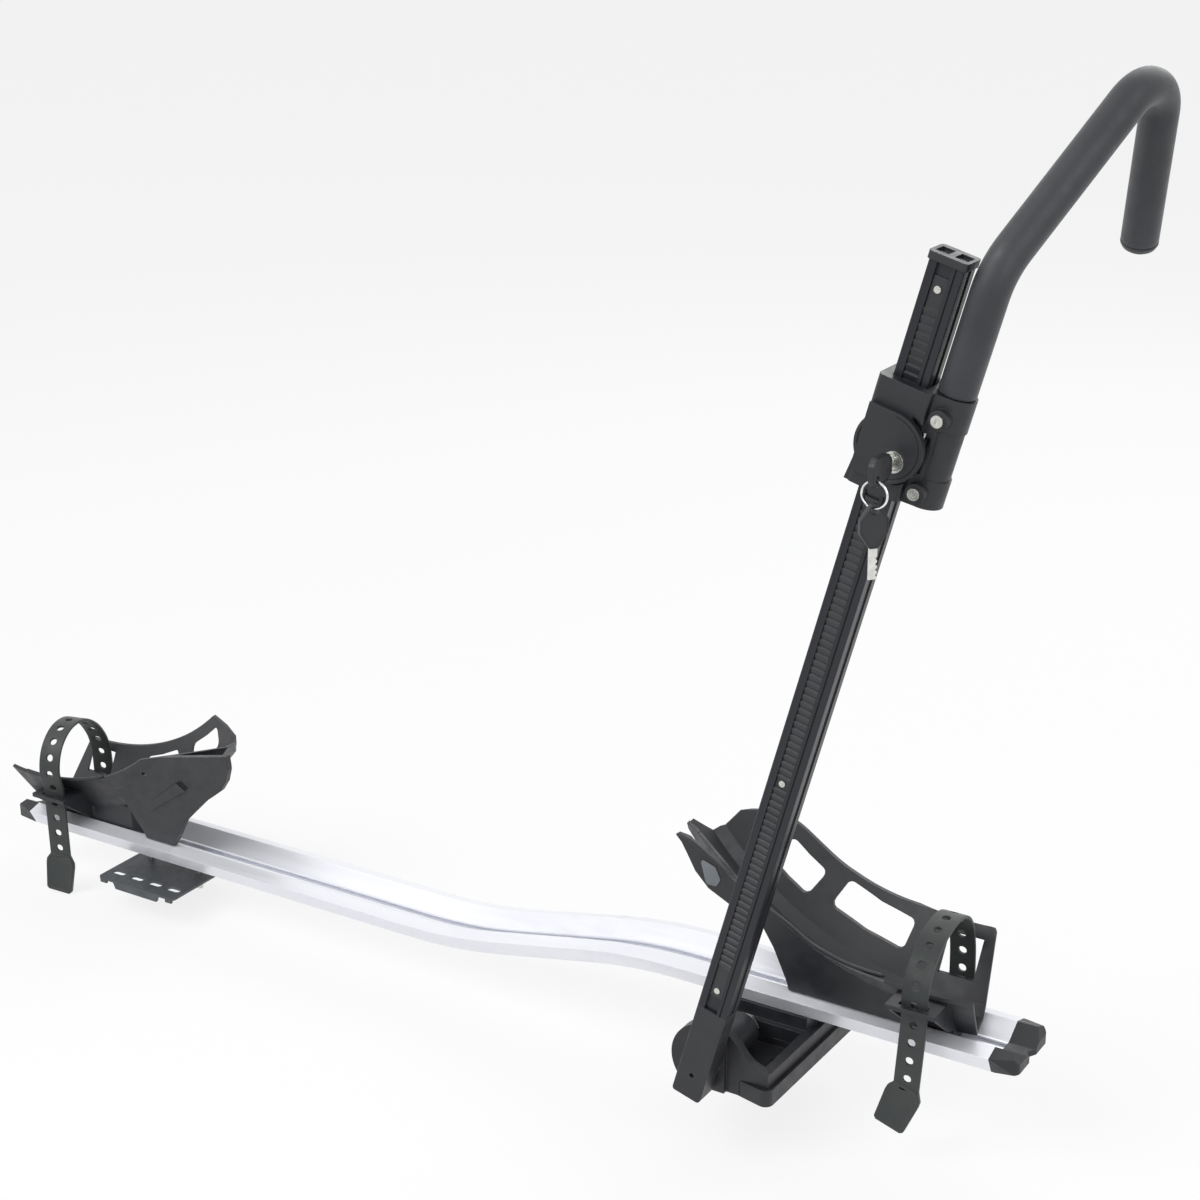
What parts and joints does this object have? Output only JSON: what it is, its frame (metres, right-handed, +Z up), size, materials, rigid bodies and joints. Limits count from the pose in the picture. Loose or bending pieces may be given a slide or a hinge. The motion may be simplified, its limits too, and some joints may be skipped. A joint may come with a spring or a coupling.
{
  "type": "roof mounted bike carrier",
  "caption": "Upright roof bike carrier with a stepped twin-tube rail, strapped wheel cradles and a folding mast whose locking ratchet head carries a J-shaped frame hook.",
  "frame": {"origin": "on the front crossbar's top, at the foot's underside, under the mast's fold axis and on the rail's centre line", "axes": "+X along the rail to its front, +Y across the rail away from the mast, +Z up"},
  "size_m": [1.4493, 0.329, 1.0952],
  "materials": {
    "rail_metal": "satin",
    "mast_metal": "satin",
    "black_moulding": "matte",
    "rack_plastic": "satin",
    "soft_rubber": "matte",
    "strap_rubber": "matte",
    "key_plastic": "gloss",
    "zinc": "satin",
    "bare_steel": "satin",
    "dark_steel": "satin",
    "grey_plate": "satin",
    "key_metal": "polished",
    "ring_chrome": "polished"
  },
  "bodies": {
    "tray": {"rail": "rail_metal", "rail_cap_front": "black_moulding", "rail_cap_rear": "black_moulding", "foot_base": "black_moulding", "foot_housing": "black_moulding", "foot_screws": "zinc", "hinge_barrel": "dark_steel", "foot_t_bolts": "zinc", "foot_nuts": "zinc"},
    "mast": {"mast_tube": "mast_metal", "rack_strip": "rack_plastic", "rack_rivets": "zinc", "mast_cap": "black_moulding", "hinge_shoe": "black_moulding", "pivot_shaft": "bare_steel", "hinge_washer": "bare_steel", "pivot_nut": "zinc"},
    "head": {"head_body": "black_moulding", "clamp_screws": "zinc", "hook_tube": "bare_steel", "hook_sleeve": "soft_rubber", "hook_plug": "black_moulding", "lever_pin": "bare_steel", "lever_spring": "bare_steel"},
    "release": {"lever": "black_moulding", "pawl": "bare_steel", "lock_bezel": "zinc"},
    "lock": {"lock_core": "zinc", "key_blade": "key_metal", "key_bow": "key_plastic"},
    "key_bunch": {"key_ring": "ring_chrome", "spare_key_fob": "key_plastic", "spare_key_blade": "key_metal"},
    "front_seat": {"front_cradle": "black_moulding", "front_strap": "strap_rubber", "front_cradle_bolts": "zinc", "front_t_nuts": "zinc"},
    "rear_seat": {"rear_cradle": "black_moulding", "rear_strap": "strap_rubber", "rear_cradle_bolts": "zinc", "rear_t_nuts": "zinc"},
    "clamp_bolts": {"clamp_t_bolts": "zinc"},
    "clamp": {"clamp_plate": "grey_plate", "clamp_nuts": "zinc"}
  },
  "joints": [
    {"name": "mast_fold", "type": "hinge", "parent": "tray", "child": "mast", "pos_m": [0, -0.159, 0.0319], "axis": [0, 1, 0], "range_deg": [-91, 10]},
    {"name": "head_slide", "type": "slide", "parent": "mast", "child": "head", "axis": [0.274, 0, 0.9617], "range_m": [-0.42, 0.075]},
    {"name": "lever_release", "type": "hinge", "parent": "head", "child": "release", "pos_m": [0.22308, -0.1765, 0.71284], "axis": [0.274, 0, 0.9617], "range_deg": [0, 20], "stiffness_Nm_per_rad": 0.6, "springref_deg": -20.05},
    {"name": "lock_turn", "type": "hinge", "parent": "release", "child": "lock", "pos_m": [0.20724, -0.19, 0.70758], "axis": [0, 1, 0], "range_deg": [0, 90]},
    {"name": "key_swing", "type": "hinge", "parent": "lock", "child": "key_bunch", "pos_m": [0.20724, -0.226, 0.70158], "axis": [1, 0, 0], "range_deg": [-12, 12]},
    {"name": "front_cradle_slide", "type": "slide", "parent": "tray", "child": "front_seat", "axis": [1, 0, 0], "range_m": [-0.04, 0.01]},
    {"name": "rear_cradle_slide", "type": "slide", "parent": "tray", "child": "rear_seat", "axis": [1, 0, 0], "range_m": [-0.012, 0.05]},
    {"name": "clamp_slide", "type": "slide", "parent": "tray", "child": "clamp_bolts", "axis": [1, 0, 0], "range_m": [0, 0.3]},
    {"name": "clamp_draw", "type": "slide", "parent": "clamp_bolts", "child": "clamp", "axis": [0, 0, 1], "range_m": [-0.01, 0.006]}
  ]
}
